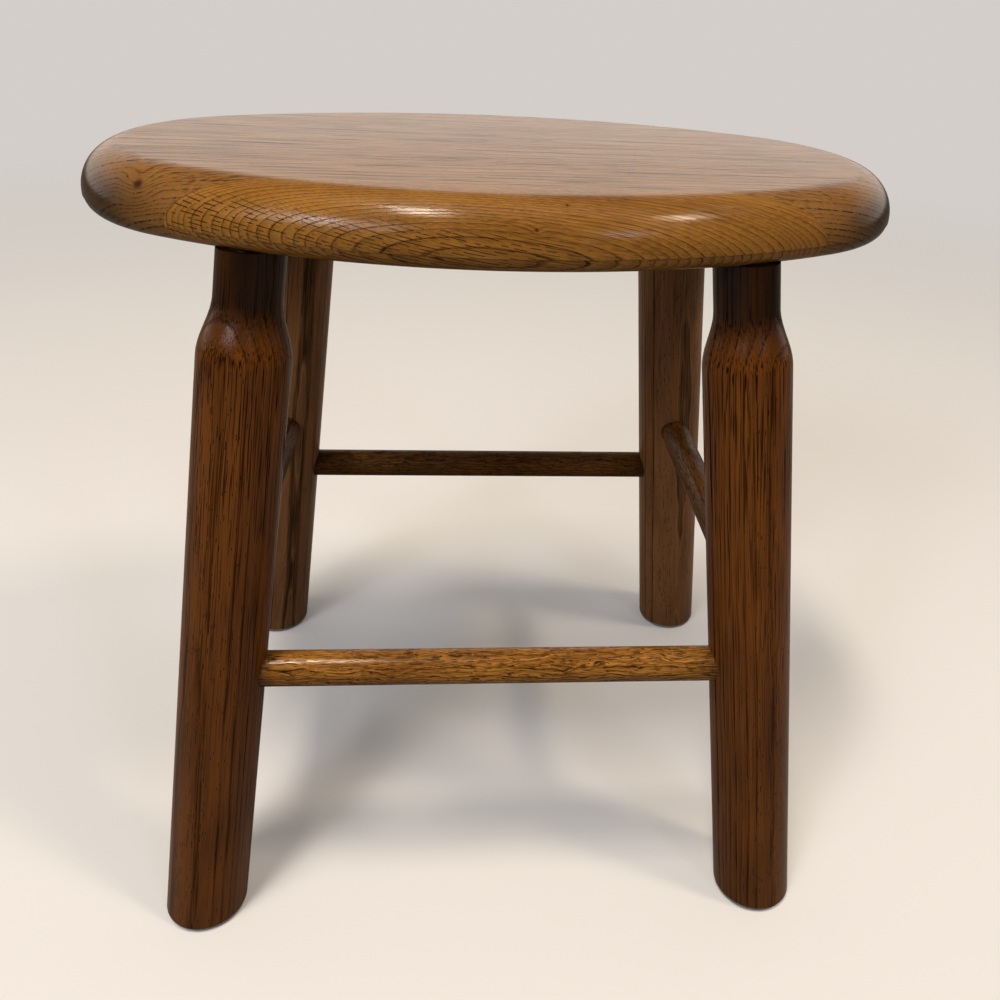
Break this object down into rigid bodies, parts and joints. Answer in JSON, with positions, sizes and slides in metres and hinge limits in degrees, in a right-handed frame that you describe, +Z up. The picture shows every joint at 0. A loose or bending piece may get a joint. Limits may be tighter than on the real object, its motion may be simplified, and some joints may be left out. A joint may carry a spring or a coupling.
{
  "type": "wooden footstool",
  "caption": "Low oval oak footstool: a thick seat with rounded edges on splayed turned legs with narrow necks, joined by round stretchers, on felt feet.",
  "frame": {"origin": "on the floor, below the middle of the seat", "axes": "+Z up to the top of the seat, +X along the long way of the seat, to the right as the picture shows it, and -Y towards the camera"},
  "size_m": [0.344, 0.2506, 0.334],
  "materials": {
    "oak_seat": "satin",
    "oak_legs": "satin",
    "oak_stretchers": "satin",
    "grey_felt": "matte"
  },
  "bodies": {
    "root": {"seat_board_front": "oak_seat", "seat_board_mid_front": "oak_seat", "seat_board_middle": "oak_seat", "seat_board_mid_rear": "oak_seat", "seat_board_rear": "oak_seat", "leg_front_left": "oak_legs", "leg_front_right": "oak_legs", "leg_rear_left": "oak_legs", "leg_rear_right": "oak_legs", "stretcher_front": "oak_stretchers", "stretcher_rear": "oak_stretchers", "stretcher_left": "oak_stretchers", "stretcher_right": "oak_stretchers", "foot_pad_front_left": "grey_felt", "foot_pad_front_right": "grey_felt", "foot_pad_rear_left": "grey_felt", "foot_pad_rear_right": "grey_felt"}
  },
  "joints": []
}
